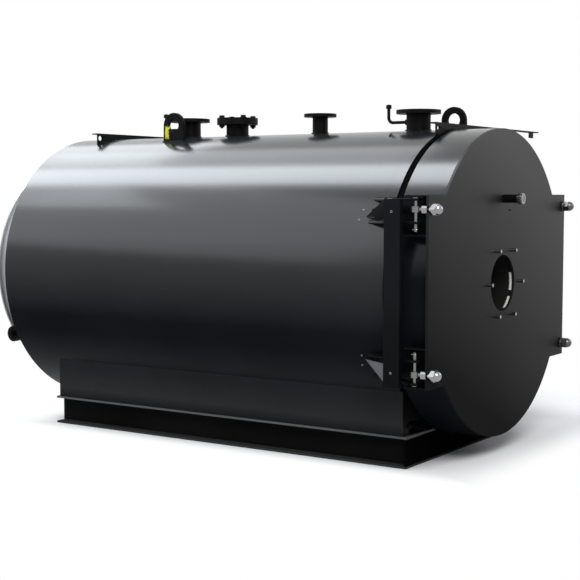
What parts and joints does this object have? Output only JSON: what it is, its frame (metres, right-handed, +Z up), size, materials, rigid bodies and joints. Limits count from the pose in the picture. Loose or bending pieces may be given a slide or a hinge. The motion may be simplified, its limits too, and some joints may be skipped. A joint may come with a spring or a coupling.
{
  "type": "industrial hot-water boiler",
  "caption": "Round-cased floor-standing boiler with a hinged burner door on eyebolts, flanged top nozzles, lifting lugs and a channel base.",
  "frame": {"origin": "on the floor under the middle of the base frame, on the boiler's upright middle plane", "axes": "+X to the right seen from the front, +Y from the burner door to the flue, +Z up"},
  "size_m": [1.695, 2.844, 1.616],
  "materials": {
    "casing_paint": "charcoal satin-gloss paint",
    "door_paint": "dark grey flat paint",
    "post_paint": "dark grey satin paint",
    "black_paint": "black satin paint",
    "rear_paint": "heat-resistant black paint",
    "boiler_steel": "bare boiler plate, dark scale",
    "refractory": "cast refractory, matt",
    "bright_steel": "bright plated steel"
  },
  "bodies": {
    "boiler": {"base_rail_left": "black_paint", "base_rail_right": "black_paint", "base_cross_front": "black_paint", "base_cross_middle": "black_paint", "base_cross_rear": "black_paint", "skirt_left": "casing_paint", "skirt_right": "casing_paint", "saddle_front": "black_paint", "saddle_rear": "black_paint", "casing": "casing_paint", "front_tube_plate": "boiler_steel", "rear_tube_plate": "boiler_steel", "furnace": "boiler_steel", "smoke_tubes": "boiler_steel", "smoke_box": "rear_paint", "smoke_box_cover": "rear_paint", "flue_spigot": "rear_paint", "drain_pipe": "black_paint", "flow_nozzle": "black_paint", "safety_nozzle": "black_paint", "cover_nozzle": "black_paint", "blind_cover": "black_paint", "return_nozzle": "black_paint", "gauge_pipe_front": "black_paint", "gauge_pipe_rear": "black_paint", "lifting_lug_front": "black_paint", "lifting_lug_rear": "black_paint", "top_bar_front": "black_paint", "top_bar_rear": "black_paint", "panel_post": "post_paint", "panel_arm_upper": "black_paint", "panel_arm_lower": "post_paint", "hinge_lugs_left": "black_paint", "hinge_lugs_right": "black_paint", "hinge_pins_left": "bright_steel", "hinge_pins_right": "bright_steel"},
    "door": {"door_plate": "door_paint", "door_drum": "casing_paint", "door_lining": "refractory", "door_ribs": "door_paint", "burner_studs": "bright_steel", "sight_tube": "black_paint", "sight_cap": "bright_steel", "hinge_bolts": "bright_steel", "hinge_nuts": "bright_steel"},
    "swing_bolt_upper_right": {"swing_bolt_upper": "bright_steel", "swing_nut_upper": "bright_steel"},
    "swing_bolt_lower_right": {"swing_bolt_lower": "bright_steel", "swing_nut_lower": "bright_steel"}
  },
  "joints": [
    {"name": "door_hinge", "type": "hinge", "parent": "boiler", "child": "door", "pos_m": [-0.709, -1.164, 0.788], "axis": [0, 0, -1], "range_deg": [0, 95]},
    {"name": "upper_bolt_swing", "type": "hinge", "parent": "boiler", "child": "swing_bolt_upper_right", "pos_m": [0.709, -1.164, 1.13], "axis": [0, 0, 1], "range_deg": [0, 90]},
    {"name": "lower_bolt_swing", "type": "hinge", "parent": "boiler", "child": "swing_bolt_lower_right", "pos_m": [0.709, -1.164, 0.446], "axis": [0, 0, 1], "range_deg": [0, 90]}
  ]
}
